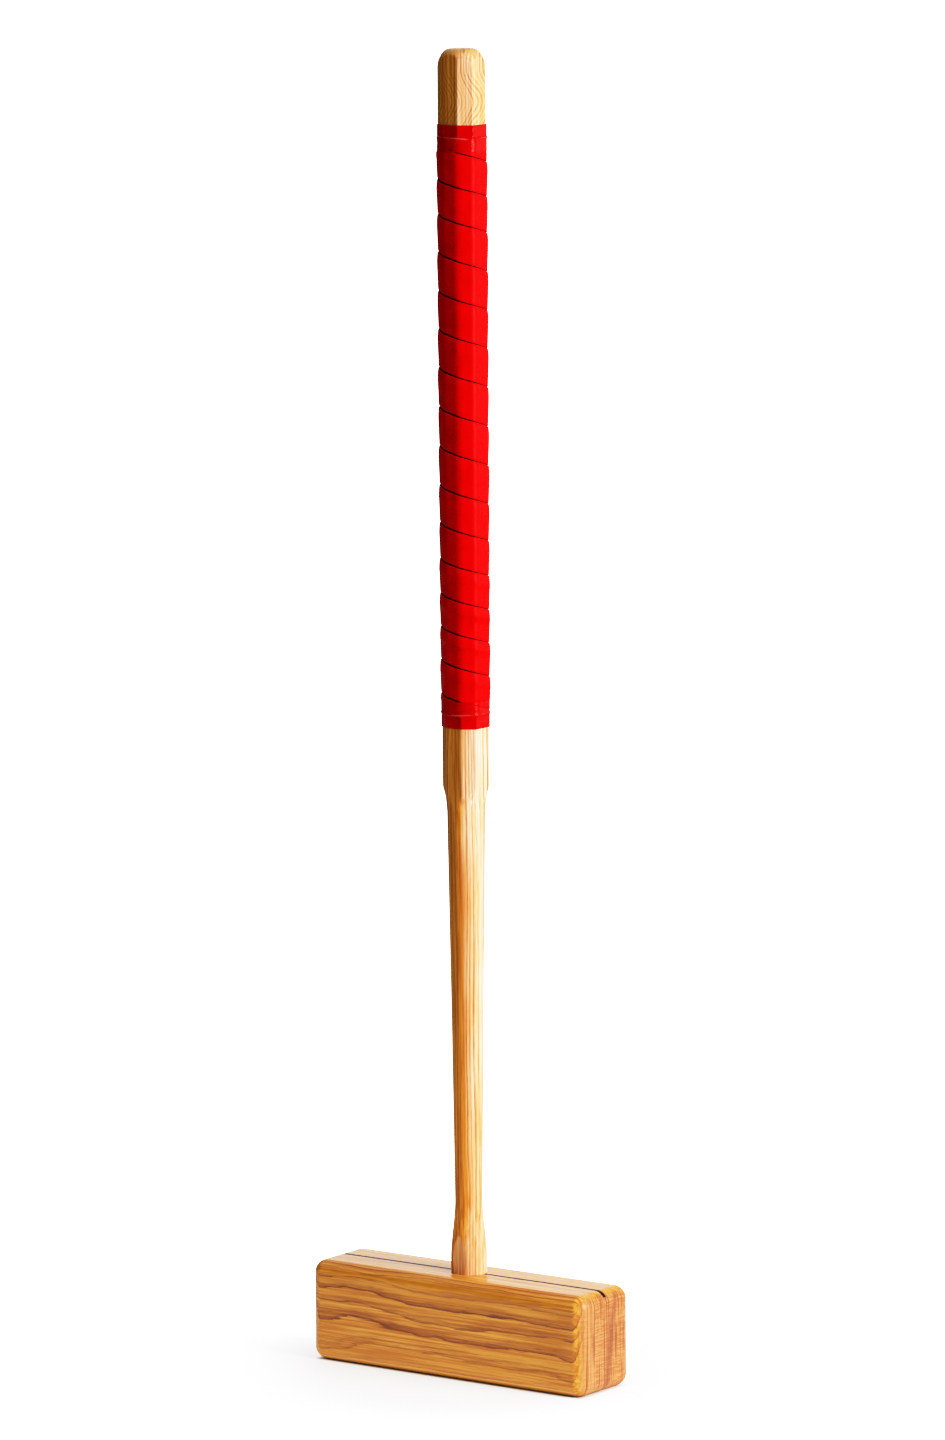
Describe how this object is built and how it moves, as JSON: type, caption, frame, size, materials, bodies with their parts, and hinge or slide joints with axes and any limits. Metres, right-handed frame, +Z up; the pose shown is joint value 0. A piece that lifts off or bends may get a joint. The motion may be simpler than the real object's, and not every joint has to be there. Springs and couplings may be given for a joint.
{
  "type": "croquet mallet",
  "caption": "Wooden croquet mallet: long rounded head with an inlaid sight line, tapered shaft and a tape-wrapped octagonal handle.",
  "frame": {"origin": "centre of the head's flat underside, on the surface the mallet stands on", "axes": "+Z up along the shaft, +X along the head in the swing direction, +Y across the head"},
  "size_m": [0.23, 0.059, 0.9144],
  "materials": {
    "head": "gloss lacquer",
    "shaft": "gloss lacquer",
    "tenon_wedge": "plain",
    "sight_line_left": "gloss",
    "sight_line_right": "gloss",
    "grip_wrap": "satin, fine texture",
    "upper_finishing_tape": "gloss vinyl",
    "lower_finishing_tape": "gloss vinyl"
  },
  "bodies": {
    "root": {"head": "head", "shaft": "shaft", "tenon_wedge": "tenon_wedge", "sight_line_left": "sight_line_left", "sight_line_right": "sight_line_right", "grip_wrap": "grip_wrap", "upper_finishing_tape": "upper_finishing_tape", "lower_finishing_tape": "lower_finishing_tape"}
  },
  "joints": []
}
